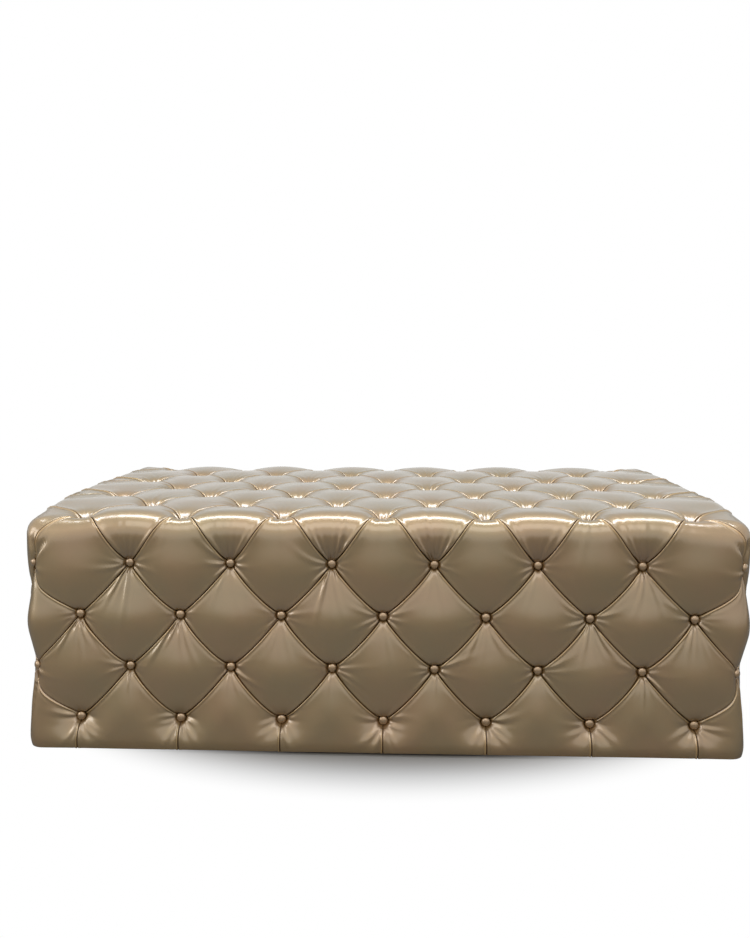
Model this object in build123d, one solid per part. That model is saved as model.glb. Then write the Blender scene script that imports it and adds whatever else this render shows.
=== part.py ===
"""Diamond tufted ottoman coffee table, built as an upholsterer builds it.

A hardwood frame of rails, posts, studs and bearers carries a plywood deck and four plywood
panels. Foam pads sit on the plywood, a leather cover in five panels goes over them, and every
covered button is tied through the foam with a twine to a toggle behind the wood.

The origin is the middle of the footprint, on the floor. X runs along the length, Y to the back.
All lengths are in millimetres.
"""

import os
from math import asin, cos, radians, sin, sqrt

from build123d import *

# Overall sizes, over the crowns of the padding
body_length = 1380
body_depth = 688
body_height = 457

# Diamonds: columns along the length, bays along the depth, rows up the walls and across the top
length_columns = 7
depth_columns = 4
wall_rows = 4
top_rows = 7
lattice_inset = 7.5
first_row_drop = 97.5
row_pitch = 100
top_row_pitch = 100.5

# Padding
wall_padding = 50
top_padding = 72
tuft_depth = 28
edge_radius = 40
seat_radius = 10
leather_thickness = 1.5
soft_gap = 0.3
corner_seat_depth = 17
corner_crown_depth = 12
hem_seam_depth = 4
hem_tuck = 9
hem_roll_height = 20
hem_roll_tuck = 1
hem_roll_seam_depth = 12
top_side_inset = 1
top_foot_inset = 3
flat_tolerance = 0.01

# Shares of the tuft depth, the seat, the edge radius and the side that shape the padding
seam_depth_share = 0.6
pleat_width_share = 0.3
corner_bulge_share = 0.68
side_crown_share = 0.55
front_roll_shares = (0.03, 0.2, 0.45)
front_pleat_shares = (0.15, 0.4, 0.7)

# Frame
hem_height = 8
lip_width = 25
dust_cover_thickness = 0.8
dust_cover_margin = 12
panel_thickness = 9
deck_thickness = 12
rail_thickness = 22
base_rail_height = 70
top_rail_height = 60
post_size = 38
post_corner_cut = 12
stud_width = 38
bearer_width = 44
top_bearer_height = 40
base_bearer_height = 30
cut_overrun = 5

# Buttons, twines and toggles
button_diameter = 19
button_rim_height = 6
button_rim_thickness = 0.8
button_dome_height = 10.2
button_neck_radius = 2
button_lift = 1.4
twine_radius = 0.8
twine_clearance = 0.4
toggle_radius = 6
toggle_thickness = 2
edge_twine_clearance = 9

# Fasteners and glides
glide_radius = 16
glide_foot_radius = 14
nail_radius = 1.5
nail_head_radius = 4
nail_head_height = 1.2
nail_length = 18
nail_head_sink = 1.5
screw_radius = 2
screw_head_radius = 4
screw_head_height = 2.5
frame_screw_length = 54
deck_screw_length = 35
screw_clearance = 0.1
long_screw_shares = (0.2, 0.5)
short_screw_shares = (0.35, 0.62)
staple_width = 11
staple_wire = 0.7
staple_leg = 8

# Places that follow from the sizes above
half_length = body_length / 2
half_depth = body_depth / 2
panel_x = half_length - wall_padding
panel_y = half_depth - wall_padding
rail_x = panel_x - panel_thickness
rail_y = panel_y - panel_thickness
inner_x = rail_x - rail_thickness
inner_y = rail_y - rail_thickness
rail_middle_x = inner_x + rail_thickness / 2
rail_middle_y = inner_y + rail_thickness / 2
post_x = rail_x - post_size
post_y = rail_y - post_size
deck_top = body_height - top_padding
deck_bottom = deck_top - deck_thickness
frame_bottom = hem_height + leather_thickness
base_rail_top = frame_bottom + base_rail_height
top_rail_bottom = deck_bottom - top_rail_height
dust_cover_bottom = hem_height - dust_cover_thickness
first_row_z = body_height - first_row_drop
row_heights = [first_row_z - row_pitch * row for row in range(wall_rows)]
length_bays = 2 * length_columns
depth_bays = 2 * depth_columns
length_bay = (body_length - 2 * lattice_inset) / length_bays
depth_bay = (body_depth - 2 * lattice_inset) / depth_bays
seam_depth = tuft_depth * seam_depth_share
foam_inset = leather_thickness + soft_gap
first_top_row_y = -top_row_pitch * (top_rows - 1) / 2
hole_radius = twine_radius + twine_clearance
corner_signs = [(sx, sy) for sx in (-1, 1) for sy in (-1, 1)]
upward = (Align.CENTER, Align.CENTER, Align.MIN)

os.makedirs("parts", exist_ok=True)


def save(shape, name):
    """Write one node of the table."""
    export_step(shape, f"parts/{name}.step")


def board(low, high):
    """A square cut board between two corners, given in any order."""
    size = [abs(b - a) for a, b in zip(low, high)]
    middle = [(a + b) / 2 for a, b in zip(low, high)]
    return Pos(*middle) * Box(*size)


def rod(start, end, radius):
    """A round rod from one point to another."""
    run = Vector(*end) - Vector(*start)
    return Plane(origin=start, z_dir=run) * Cylinder(radius, run.length, align=upward)


def group(shapes):
    """Separate solids that share one node."""
    return Compound(children=list(shapes))


def cut(shape, tools):
    """The shape with all the tools taken out of it at once."""
    return shape - list(tools)


def edge(start, middle, end):
    """An arc through three points, or a line where the middle one lies on it."""
    start, middle, end = Vector(*start), Vector(*middle), Vector(*end)
    if (middle - (start + end) / 2).length < flat_tolerance:
        return Line(start, end)
    return ThreePointArc(start, middle, end)


def section(edges):
    """A closed wire from edges that follow one another."""
    return Wire([line.edge() for line in edges])


# Tufted padding. Each section of a pad is a chain of arcs, one for each bay, that meet in the
# seams. On a button row wide crowns and narrow button seats take turns. Half way to the next
# row, which is staggered by a bay, all arcs are one bay wide. Loft after loft this gives the
# diamonds.


def seam_places(bays, phase, seat):
    """Where the seams cross a section, in bays. The phase is 0 on rows with buttons at the
    corners and 1 on the rows between them."""
    shift = (1 - 2 * seat) * phase
    return [j - 1 + seat + shift if j % 2 else j - seat - shift for j in range(1, bays + 1)]


def chain(bays, bay, reach, level, inset):
    """The start, middle and end of each arc across a pad, as pairs of a place along it and a
    depth under its crowns. The reach is the distance from its middle to its corner."""
    phase, depth, tuck, pleat = level
    corner = corner_seat_depth + (corner_crown_depth - corner_seat_depth) * phase + inset + tuck
    knots = [(corner - reach, corner)]
    for place in seam_places(bays, phase, seat_radius / bay * pleat):
        knots.append(((place - bays / 2) * bay, depth + inset + tuck))
    knots.append((reach - corner, corner))
    if phase == 0:
        step = seat_radius / sqrt(2)
        knots[1] = (corner + step - reach, corner - step)
        knots[-2] = (reach - corner - step, corner - step)
    arcs = []
    for i, (a, b) in enumerate(zip(knots, knots[1:])):
        share = 1 - phase if i % 2 else phase
        middle = depth * (1 - share) ** 2 + inset + tuck
        if i in (0, bays):
            bulge = tuft_depth * corner_bulge_share * share * pleat
            middle = (a[1] + b[1]) / 2 - bulge
        arcs.append((a, ((a[0] + b[0]) / 2, middle), b))
    return arcs


# A wall is its bays, the width of a bay, the reach from its middle to its corners and the
# distance from the middle of the table out to its crowns. The second value of each entry is the
# angle that turns the wall from the front to its own side.

long_wall = (length_bays, length_bay, half_length, half_depth)
short_wall = (depth_bays, depth_bay, half_depth, half_length)
walls = {
    "front": (long_wall, 0),
    "right": (short_wall, 90),
    "back": (long_wall, 180),
    "left": (short_wall, 270),
}


def wall_levels():
    """Height, then phase, seam depth, tuck and pleat share, of each section up a wall."""
    levels = [
        (frame_bottom, (1, hem_seam_depth, hem_tuck, pleat_width_share)),
        (hem_height + hem_roll_height, (1, hem_roll_seam_depth, hem_roll_tuck, pleat_width_share)),
    ]
    for row, z in reversed(list(enumerate(row_heights))):
        levels.append((z, (row % 2, tuft_depth, 0, 1)))
        if row:
            levels.append((z + row_pitch / 2, (1 / 2, seam_depth, 0, 1)))
    rise = (deck_top - first_row_z) / row_pitch
    rim_depth = tuft_depth + (seam_depth - tuft_depth) * 2 * rise
    levels.append((deck_top, (rise, rim_depth, 0, 1)))
    return levels


def wall_chain(wall, z, level, inset):
    """The arcs of one section of a wall, as points of the front wall's own frame."""
    bays, bay, reach, out = wall
    arcs = chain(bays, bay, reach, level, inset)
    return [[(x, depth - out, z) for x, depth in arc] for arc in arcs]


def wall_cover(wall):
    """The leather of one wall, with its lip turned in under the frame."""
    sections = []
    for z, level in wall_levels():
        outer = wall_chain(wall, z, level, 0)
        inner = wall_chain(wall, z, level, leather_thickness)
        edges = [edge(*arc) for arc in outer]
        edges.append(Line(outer[-1][2], inner[-1][2]))
        edges += [edge(*reversed(arc)) for arc in reversed(inner)]
        edges.append(Line(inner[0][0], outer[0][0]))
        sections.append(section(edges))
    hem = wall_chain(wall, hem_height, wall_levels()[0][1], 0)
    lip_x, lip_y = (reach - wall_padding - lip_width for reach in wall[2:])
    corners = [hem[-1][2], (lip_x, -lip_y, hem_height), (-lip_x, -lip_y, hem_height), hem[0][0]]
    edges = [edge(*arc) for arc in hem] + [Line(a, b) for a, b in zip(corners, corners[1:])]
    lip = extrude(Face(section(edges)), leather_thickness, (0, 0, 1))
    return Solid.make_loft(sections, ruled=True) + lip


def wall_foam(wall):
    """The foam of one wall, flat where it sits on the plywood."""
    panel_half, panel_out = (reach - wall_padding for reach in wall[2:])
    sections = []
    for z, level in wall_levels():
        arcs = wall_chain(wall, z, level, foam_inset)
        back = [arcs[-1][2], (panel_half, -panel_out, z), (-panel_half, -panel_out, z), arcs[0][0]]
        edges = [edge(*arc) for arc in arcs] + [Line(a, b) for a, b in zip(back, back[1:])]
        sections.append(section(edges))
    return Solid.make_loft(sections, ruled=True)


def roll(distance):
    """How far a rolled edge has dropped, at a distance in from its outermost line."""
    return edge_radius - sqrt(edge_radius**2 - (edge_radius - distance) ** 2)


def top_levels(inset):
    """Place, then phase, seam depth, tuck and pleat share, of each section across the top."""
    front = []
    for share, pleat in zip(front_roll_shares, front_pleat_shares):
        distance = share * edge_radius
        level = (1, tuft_depth * pleat, roll(distance), pleat_width_share)
        front.append((distance + inset - half_depth, level))
    field = []
    for half_row in range(2 * top_rows - 1):
        phase = (1, 1 / 2, 0, 1 / 2)[half_row % 4]
        depth = seam_depth if half_row % 2 else tuft_depth
        y = first_top_row_y + top_row_pitch / 2 * half_row
        field.append((y, (phase, depth, 0, 1)))
    return front + field + [(-y, level) for y, level in reversed(front)]


def top_pad(inset, bottom):
    """The whole top, as a solid from its tufted face down to a flat bottom."""
    sections = []
    for y, level in top_levels(inset):
        tuck = level[2]
        arcs = chain(length_bays, length_bay, half_length, level, inset)
        points = [[(x, y, body_height - depth) for x, depth in arc] for arc in arcs]
        first, last = points[0][0], points[-1][2]
        side_x = half_length - top_side_inset - inset - tuck
        side_z = deck_top + (first[2] - deck_top) * side_crown_share
        foot_x = half_length - top_foot_inset - inset - tuck
        edges = [edge((-foot_x, y, bottom), (-side_x, y, side_z), first)]
        edges += [edge(*arc) for arc in points]
        edges.append(edge(last, (side_x, y, side_z), (foot_x, y, bottom)))
        edges.append(Line((foot_x, y, bottom), (-foot_x, y, bottom)))
        sections.append(section(edges))
    return Solid.make_loft(sections, ruled=True)


# Each button hangs on a line: its seat in the cover, the place where its twine comes out of the
# wood, and the way it faces. Twines near a post or a rail lean, to come out clear of it.


def wall_lines(wall):
    """The button lines of one wall, in the front wall's own frame."""
    bays, bay, reach, out = wall
    limit = reach - wall_padding - panel_thickness - post_size - edge_twine_clearance
    found = []
    for row, z in enumerate(row_heights):
        behind_rail = row in (0, wall_rows - 1)
        back = wall_padding + panel_thickness + (rail_thickness if behind_rail else 0) - out
        for place in range(2 - row % 2, bays, 2):
            x = (place - bays / 2) * bay
            foot_x = max(-limit, min(limit, x))
            found.append(((x, tuft_depth - out, z), (foot_x, back, z), (0, -1, 0)))
    return found


def top_lines():
    """The button lines of the top."""
    found = []
    limit = inner_y - edge_twine_clearance
    for row in range(top_rows):
        y = first_top_row_y + top_row_pitch * row
        foot_y = max(-limit, min(limit, y))
        for place in range(1 + row % 2, length_bays, 2):
            x = (place - length_bays / 2) * length_bay
            found.append(((x, y, body_height - tuft_depth), (x, foot_y, deck_bottom), (0, 0, 1)))
    return found


def corner_lines():
    """The button lines of the upright edges, through the posts to their cut inner corners."""
    found = []
    seat_x, seat_y = half_length - corner_seat_depth, half_depth - corner_seat_depth
    back_x, back_y = post_x + post_corner_cut / 2, post_y + post_corner_cut / 2
    for z in row_heights[::2]:
        for sx, sy in corner_signs:
            seat, back = (sx * seat_x, sy * seat_y, z), (sx * back_x, sy * back_y, z)
            found.append((seat, back, (sx / sqrt(2), sy / sqrt(2), 0)))
    return found


def turned(line, angle):
    """A button line turned about the vertical axis."""
    c, s = cos(radians(angle)), sin(radians(angle))
    return tuple((x * c - y * s, x * s + y * c, z) for x, y, z in line)


def beyond(start, end, distance):
    """The point at a distance past the end of a line, or short of it where that is negative."""
    start, end = Vector(*start), Vector(*end)
    return tuple(end + (end - start).normalized() * distance)


def neck_point(line):
    """Where a twine meets the neck of its button."""
    seat, back, way = line
    return tuple(Vector(*seat) + Vector(*way) * button_lift)


def drill(line):
    """The hole for one twine, long enough to pass both of its ends."""
    neck, back = neck_point(line), line[1]
    return rod(beyond(back, neck, cut_overrun), beyond(neck, back, cut_overrun), hole_radius)


def button_shape():
    """One covered button that faces up: a neck, a coned back, a rim and a round domed face."""
    rim = button_diameter / 2
    shoulder = button_rim_height + button_rim_thickness
    rise = button_dome_height - shoulder
    dome_radius = (rim**2 + rise**2) / (2 * rise)
    half_angle = asin(rim / dome_radius) / 2
    middle_z = button_dome_height - dome_radius * (1 - cos(half_angle))
    outline = [
        Line((0, button_lift), (button_neck_radius, button_lift)),
        Line((button_neck_radius, button_lift), (rim, button_rim_height)),
        Line((rim, button_rim_height), (rim, shoulder)),
        ThreePointArc((rim, shoulder), (dome_radius * sin(half_angle), middle_z),
                      (0, button_dome_height)),
        Line((0, button_dome_height), (0, button_lift)),
    ]
    return revolve(Plane.XZ * Face(section(outline)), Axis.Z, 360)


def twine(line):
    """The twine from just under a button to just inside the wood face behind it."""
    neck, back = neck_point(line), line[1]
    return rod(beyond(back, neck, -twine_radius), beyond(neck, back, -twine_radius), twine_radius)


def toggle(line):
    """The disc that holds a twine, flat on the face that the twine comes out of."""
    seat, back, way = line
    return rod(back, tuple(Vector(*back) - Vector(*way) * toggle_thickness), toggle_radius)


lines = {side: [turned(line, angle) for line in wall_lines(wall)]
         for side, (wall, angle) in walls.items()}
lines["top"] = top_lines()
lines["corner"] = corner_lines()
drills = {side: [drill(line) for line in found] for side, found in lines.items()}

# Fasteners: where each one starts, and the way it is driven


def screw_shape(length, spare):
    """A countersunk wood screw that points up, or its hole, larger by a spare clearance."""
    wide, narrow = screw_head_radius + spare, screw_radius + spare
    outline = Polyline((0, 0), (wide, 0), (narrow, screw_head_height), (narrow, length + spare),
                       (0, length + spare), close=True)
    return revolve(Plane.XZ * Face(section(outline.edges())), Axis.Z, 360)


def driven(places, length, spare=0):
    """A screw, or its hole, at each of the places."""
    shape = screw_shape(length, spare)
    return [Plane(origin=start, z_dir=way) * shape for start, way in places]


long_bearer_xs = [(bay + 1 / 2 - length_bays / 2) * length_bay for bay in range(2, length_bays, 3)]
short_stud_ys = [side * (depth_bays / 4 - 1 / 2) * depth_bay for side in (-1, 1)]
frame_screw_places = []
for low, height in ((frame_bottom, base_rail_height), (top_rail_bottom, top_rail_height)):
    for sx, sy in corner_signs:
        for share in long_screw_shares:
            z = low + share * height
            frame_screw_places.append(((sx * rail_x, sy * rail_middle_y, z), (-sx, 0, 0)))
        for share in short_screw_shares:
            z = low + share * height
            frame_screw_places.append(((sx * rail_middle_x, sy * rail_y, z), (0, -sy, 0)))
frame_screw_holes = driven(frame_screw_places, frame_screw_length, screw_clearance)

deck_screw_spots = [(x, y) for x in long_bearer_xs for y in (-rail_middle_y, 0, rail_middle_y)]
deck_screw_spots += [(sx * rail_middle_x, y) for sx in (-1, 1) for y in short_stud_ys]
deck_screw_places = [((x, y, deck_top), (0, 0, -1)) for x, y in deck_screw_spots]
deck_screw_holes = driven(deck_screw_places, deck_screw_length, screw_clearance)

glide_spots = [(sx * rail_middle_x, sy * rail_middle_y) for sx, sy in corner_signs]
glide_spots += [(x, sy * rail_middle_y) for x in long_bearer_xs[1:-1] for sy in (-1, 1)]
nail_holes = [rod((x, y, 0), (x, y, nail_head_sink + nail_length + screw_clearance),
                  nail_radius + screw_clearance) for x, y in glide_spots]

staple_spots = [((bay - length_bays / 2) * length_bay, sy * rail_middle_y, 0)
                for bay in range(1, length_bays) for sy in (-1, 1)]
staple_spots += [(sx * rail_middle_x, (bay - depth_bays / 2) * depth_bay, 90)
                 for bay in range(2, depth_bays - 1) for sx in (-1, 1)]


def staple_legs(x, y, angle, spare=0):
    """The two legs of a staple, or their holes, larger by a spare clearance."""
    side, length = staple_wire + 2 * spare, staple_leg + spare
    leg_x = (staple_width - staple_wire) / 2
    place = Pos(x, y, dust_cover_bottom) * Rot(0, 0, angle)
    return [place * Pos(sx * leg_x, 0, 0) * Box(side, side, length, align=upward) for sx in (-1, 1)]


staple_holes = [leg for spot in staple_spots for leg in staple_legs(*spot, screw_clearance)]

# Hardwood frame

side_signs = {"front": -1, "back": 1, "left": -1, "right": 1}
for side, sign in side_signs.items():
    for name, low, high in (("base_rail", frame_bottom, base_rail_top),
                            ("top_rail", top_rail_bottom, deck_bottom)):
        if side in ("front", "back"):
            shape = board((-post_x, sign * inner_y, low), (post_x, sign * rail_y, high))
        else:
            shape = board((sign * inner_x, -post_y, low), (sign * rail_x, post_y, high))
        driven_holes = deck_screw_holes if high == deck_bottom else nail_holes + staple_holes
        holes = drills[side] + frame_screw_holes + driven_holes
        save(cut(shape, holes), f"{name}_{side}")

for sx, sy in corner_signs:
    post = board((sx * post_x, sy * post_y, frame_bottom), (sx * rail_x, sy * rail_y, deck_bottom))
    slope = Pos(sx * post_x, sy * post_y, deck_bottom / 2) * Rot(0, 0, 45)
    slope *= Box(post_corner_cut * sqrt(2), post_corner_cut * sqrt(2), body_height)
    holes = [slope] + drills["corner"] + frame_screw_holes + nail_holes
    save(cut(post, holes), f"post_{'front' if sy < 0 else 'back'}_{'left' if sx < 0 else 'right'}")


def long_stud(x, sign):
    """An upright behind the front or back panel, between the rails."""
    return board((x - stud_width / 2, sign * inner_y, base_rail_top),
                 (x + stud_width / 2, sign * rail_y, top_rail_bottom))


def short_stud(y, sign):
    """An upright behind the left or right panel, between the rails."""
    return board((sign * inner_x, y - stud_width / 2, base_rail_top),
                 (sign * rail_x, y + stud_width / 2, top_rail_bottom))


def bearer(x, low, high):
    """A cross member from the front rail to the back rail."""
    return board((x - bearer_width / 2, -inner_y, low), (x + bearer_width / 2, inner_y, high))


for side, sign in side_signs.items():
    if side in ("front", "back"):
        save(group(long_stud(x, sign) for x in long_bearer_xs), f"studs_{side}")
    else:
        save(group(short_stud(y, sign) for y in short_stud_ys), f"studs_{side}")
top_bearer_bottom = deck_bottom - top_bearer_height
base_bearer_top = frame_bottom + base_bearer_height
save(group(cut(bearer(x, top_bearer_bottom, deck_bottom), deck_screw_holes)
           for x in long_bearer_xs), "top_bearers")
save(group(bearer(x, frame_bottom, base_bearer_top) for x in long_bearer_xs), "base_bearers")

# Plywood, drilled for the twines. The front and back panels cover the ends of the side panels.

deck = board((-panel_x, -panel_y, deck_bottom), (panel_x, panel_y, deck_top))
save(cut(deck, drills["top"] + deck_screw_holes), "deck")
for side, sign in side_signs.items():
    if side in ("front", "back"):
        low, high = (-panel_x, sign * rail_y), (panel_x, sign * panel_y)
    else:
        low, high = (sign * rail_x, -rail_y), (sign * panel_x, rail_y)
    panel = board((*low, frame_bottom), (*high, deck_bottom))
    save(cut(panel, drills[side] + drills["corner"]), f"panel_{side}")

# Foam and leather

for side, (wall, angle) in walls.items():
    holes = drills[side] + drills["corner"]
    save(cut(Rot(0, 0, angle) * wall_foam(wall), holes), f"foam_{side}")
    lip_holes = nail_holes + staple_holes
    save(cut(Rot(0, 0, angle) * wall_cover(wall), holes + lip_holes), f"cover_{side}")
save(cut(top_pad(foam_inset, deck_top), drills["top"]), "foam_top")
skin = top_pad(0, deck_top) - top_pad(leather_thickness, deck_top - cut_overrun)
save(cut(skin, drills["top"]), "cover_top")

# Buttons, twines and toggles

button = button_shape()
for side, found in lines.items():
    save(group(Plane(origin=seat, z_dir=way) * button for seat, back, way in found),
         f"buttons_{side}")
    save(group(twine(line) for line in found), f"twines_{side}")
    save(group(toggle(line) for line in found), f"toggles_{side}")

# Fasteners

save(group(driven(frame_screw_places, frame_screw_length)), "frame_screws")
save(group(driven(deck_screw_places, deck_screw_length)), "deck_screws")


def staple(x, y, angle):
    """A staple under the dust cover, with its legs up in the rail."""
    half = staple_width / 2
    crown = board((-half, -staple_wire / 2, 0), (half, staple_wire / 2, -staple_wire))
    return Pos(x, y, dust_cover_bottom) * Rot(0, 0, angle) * crown + staple_legs(x, y, angle)


save(group(staple(*spot) for spot in staple_spots), "hem_staples")

# Dust cover and glides under the base

edge_x, edge_y = panel_x - dust_cover_margin, panel_y - dust_cover_margin
dust_cover = board((-edge_x, -edge_y, dust_cover_bottom), (edge_x, edge_y, hem_height))
save(cut(dust_cover, nail_holes + staple_holes), "dust_cover")


def glide(x, y):
    """A moulded foot with a recess for the head of its nail."""
    foot = Cone(glide_foot_radius, glide_radius, dust_cover_bottom, align=upward)
    recess = Cylinder(nail_head_radius + screw_clearance, nail_head_sink + nail_head_height, align=upward)
    bore = Cylinder(nail_radius + screw_clearance, dust_cover_bottom, align=upward)
    return Pos(x, y, 0) * (foot - [recess, bore])


def nail(x, y):
    """The nail that holds a glide, its head up in the recess."""
    head = Cylinder(nail_head_radius, nail_head_height, align=upward)
    shank = Cylinder(nail_radius, nail_length, align=upward)
    return Pos(x, y, nail_head_sink) * (head + shank)


save(group(glide(x, y) for x, y in glide_spots), "glides")
save(group(nail(x, y) for x, y in glide_spots), "glide_nails")
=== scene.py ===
# %% [markdown]
# A deep-buttoned ottoman coffee table in bronze leather. The frame, plywood, screws, staples,
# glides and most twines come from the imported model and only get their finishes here. The
# leather, the foam under it, the covered buttons and the twines of the corner buttons are made
# anew in this lesson, in metres, in the same places as the solids they stand for.

import bpy
import numpy as np
from mathutils import Matrix, Vector


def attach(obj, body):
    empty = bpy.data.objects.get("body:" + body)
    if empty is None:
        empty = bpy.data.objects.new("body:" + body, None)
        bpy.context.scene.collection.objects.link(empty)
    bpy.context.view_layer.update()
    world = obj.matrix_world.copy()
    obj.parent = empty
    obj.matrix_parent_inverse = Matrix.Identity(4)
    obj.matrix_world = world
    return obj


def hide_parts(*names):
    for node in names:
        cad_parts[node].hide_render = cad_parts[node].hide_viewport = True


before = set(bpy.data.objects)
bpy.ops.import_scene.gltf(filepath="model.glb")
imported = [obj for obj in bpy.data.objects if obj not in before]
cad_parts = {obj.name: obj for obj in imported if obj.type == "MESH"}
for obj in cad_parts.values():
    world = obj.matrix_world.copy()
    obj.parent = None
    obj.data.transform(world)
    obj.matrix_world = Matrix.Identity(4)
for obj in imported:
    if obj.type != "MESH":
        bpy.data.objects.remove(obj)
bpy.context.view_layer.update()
mm = 0.001

# %% [markdown]
# The camera stands a little right of the middle, above the height of the top, and looks almost
# level. The ottoman sits low in the tall picture. Tilting the camera would make its upright
# edges lean, so the lens is shifted instead.

# %% The camera
camera_data = bpy.data.cameras.new("studio_camera")
camera_data.sensor_width = 36
camera_data.lens = 29.05
camera_data.shift_y = -0.0968
camera = bpy.data.objects.new("studio_camera", camera_data)
bpy.context.scene.collection.objects.link(camera)
camera_place = (0.0386, -1.7528, 0.744)
aim_left, aim_down, roll = np.radians(2.13), np.radians(1.26), np.radians(0.10)
camera_turn = (Matrix.Rotation(aim_left, 4, "Z") @ Matrix.Rotation(-aim_down, 4, "X")
               @ Matrix.Rotation(roll, 4, "Y") @ Matrix.Rotation(np.radians(90), 4, "X"))
camera.matrix_world = Matrix.Translation(camera_place) @ camera_turn
bpy.context.scene.camera = camera
print("camera at", camera_place)

# %% [markdown]
# Every finish is a small node tree. It could be drawn by hand in the shader editor, but a
# script keeps each value in sight. Four helpers serve them all: one turns a written colour into
# Blender's linear colour, one adds a node with its settings and links, one starts a material
# with its surface shader, and one makes a colour ramp.

# %% Helpers for finishes
def colour(code):
    """Linear colour of an sRGB code such as 8A7658."""
    parts = [int(code[i:i + 2], 16) / 255 for i in (0, 2, 4)]
    return [p / 12.92 if p <= 0.04045 else ((p + 0.055) / 1.055) ** 2.4 for p in parts] + [1]


def add(tree, kind, links=(), settings=(), **values):
    """A node of one kind: links and values go to its inputs, settings to the node itself."""
    node = tree.nodes.new(kind)
    for name, value in dict(settings).items():
        setattr(node, name, value)
    for name, value in values.items():
        node.inputs[name.replace("_", " ")].default_value = value
    for name, output in dict(links).items():
        tree.links.new(output, node.inputs[name])
    return node


def finish(name, **values):
    """A new material, its tree and its surface shader."""
    material = bpy.data.materials.new(name)
    material.use_nodes = True
    tree = material.node_tree
    shader = tree.nodes["Principled BSDF"]
    for socket, value in values.items():
        shader.inputs[socket.replace("_", " ")].default_value = value
    return material, tree, shader


def ramp(tree, factor, stops):
    """A colour ramp with sRGB stops, read from a factor."""
    node = add(tree, "ShaderNodeValToRGB", {"Fac": factor})
    while len(node.color_ramp.elements) < len(stops):
        node.color_ramp.elements.new(0.5)
    for element, (place, code) in zip(node.color_ramp.elements, stops):
        element.position = place
        element.color = colour(code)
    return node


print("the mid grey 808080 is", round(colour("808080")[0], 3), "in linear light")

# %% [markdown]
# The leather is hide with a thin bronze foil finish, as on coated upholstery leather. The foil
# makes it metallic with a satin gloss, and the clear coat over it turns pale where it is looked
# at flatly, as along the top. Colour and gloss drift a little from patch to patch. A real pebble
# grain is about half a millimetre wide, too fine to show here, so it is drawn 1.2 mm wide.
# Painted shade darkens the colour deep in a fold and round the seats, and a painted highlight
# makes the ridge beside a fold paler. The attribute named fold carries both from the shape: 1 in
# the fold, 0 on the pillow, below 0 on the ridge.

# %% Foil-finished leather
def foil_leather(name, light, mid, dark, roughness, coat_roughness):
    """Three near tones of bronze, the gloss of the foil and the gloss of the coat over it."""
    material, tree, shader = finish(name, Metallic=0.7, Roughness=roughness, Coat_Weight=1.0,
                                    Coat_IOR=2.0, Coat_Roughness=coat_roughness,
                                    Specular_Tint=(0.18, 0.28, 0.31, 1))
    place = add(tree, "ShaderNodeTexCoord").outputs["Object"]
    fold = add(tree, "ShaderNodeAttribute", settings={"attribute_name": "fold"}).outputs["Fac"]
    # patches of tone are 90 mm wide
    cloud = add(tree, "ShaderNodeTexNoise", {"Vector": place}, Scale=11.0, Detail=3.0,
                Roughness=0.5)
    tone = ramp(tree, cloud.outputs["Fac"], [(0.32, dark), (0.5, mid), (0.68, light)])
    # painted shade in the folds and round the seats, and a painted highlight on the ridges, read from the
    # fold attribute
    painted_shade_and_highlight = add(tree, "ShaderNodeMapRange", {"Value": fold}, From_Min=-0.5)
    crease = ramp(tree, painted_shade_and_highlight.outputs["Result"],
                  [(0.0, "FFFCF4"), (0.33, "C8C8C8"), (0.66, "ADA294"), (1.0, "83725C")])
    mixed = add(tree, "ShaderNodeMix", settings={"data_type": "RGBA", "blend_type": "MULTIPLY"})
    mixed.inputs[0].default_value = 1
    tree.links.new(tone.outputs["Color"], mixed.inputs[6])
    tree.links.new(crease.outputs["Color"], mixed.inputs[7])
    tree.links.new(mixed.outputs[2], shader.inputs["Base Color"])
    # pebbles are 1.2 mm wide, and the pores between them vary every 2.4 mm
    pebble = add(tree, "ShaderNodeTexVoronoi", {"Vector": place},
                 {"feature": "SMOOTH_F1"}, Scale=850.0)
    pores = add(tree, "ShaderNodeTexNoise", {"Vector": place}, Scale=420.0, Detail=2.0)
    grain = add(tree, "ShaderNodeMath", {0: pebble.outputs["Distance"], 1: pores.outputs["Fac"]},
                {"operation": "ADD"})
    bump = add(tree, "ShaderNodeBump", {"Height": grain.outputs[0]}, Strength=0.05,
               Distance=0.6 * mm)
    tree.links.new(bump.outputs["Normal"], shader.inputs["Normal"])
    # patches of gloss are 17 mm wide
    rub = add(tree, "ShaderNodeTexNoise", {"Vector": place}, Scale=60.0, Detail=4.0)
    gloss = add(tree, "ShaderNodeMapRange", {"Value": rub.outputs["Fac"]}, From_Min=0.3,
                From_Max=0.7, To_Min=roughness - 0.03, To_Max=roughness + 0.04)
    tree.links.new(gloss.outputs["Result"], shader.inputs["Roughness"])
    return material


cover_leather = foil_leather("bronze_foil_leather", "CAA169", "C5A167", "C0A168", 0.4, 0.21)
button_leather = foil_leather("bronze_button_leather", "DBAE74", "D5AA71", "CEA56F", 0.34, 0.14)
print("leather finishes:", cover_leather.name, button_leather.name)

# %% [markdown]
# The sizes below are those of the model. The leather is pulled in at seats, which lie on a
# diamond lattice: four rows round the walls and seven rows across the top. Each corner has a
# seat of its own in the rows where the lattice meets it.

# %% Lattice sizes
half_length, half_depth, height = 690 * mm, 344 * mm, 457 * mm
top_round, corner_round = 46 * mm, 34 * mm
length_bay, depth_bay = 97.5 * mm, 84.125 * mm
length_bays, depth_bays = 14, 8
row_heights = [359.5 * mm, 259.5 * mm, 159.5 * mm, 59.5 * mm]
top_rows = [(-301.5 + 100.5 * k) * mm for k in range(7)]
tuft_depth = 28 * mm
corner_seat_inset = 24 * mm
hem_z = 5 * mm
side_angles = {"front": 0, "right": 90, "back": 180, "left": 270}
print(length_bays, "bays along the length,", depth_bays, "across the depth")

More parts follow.
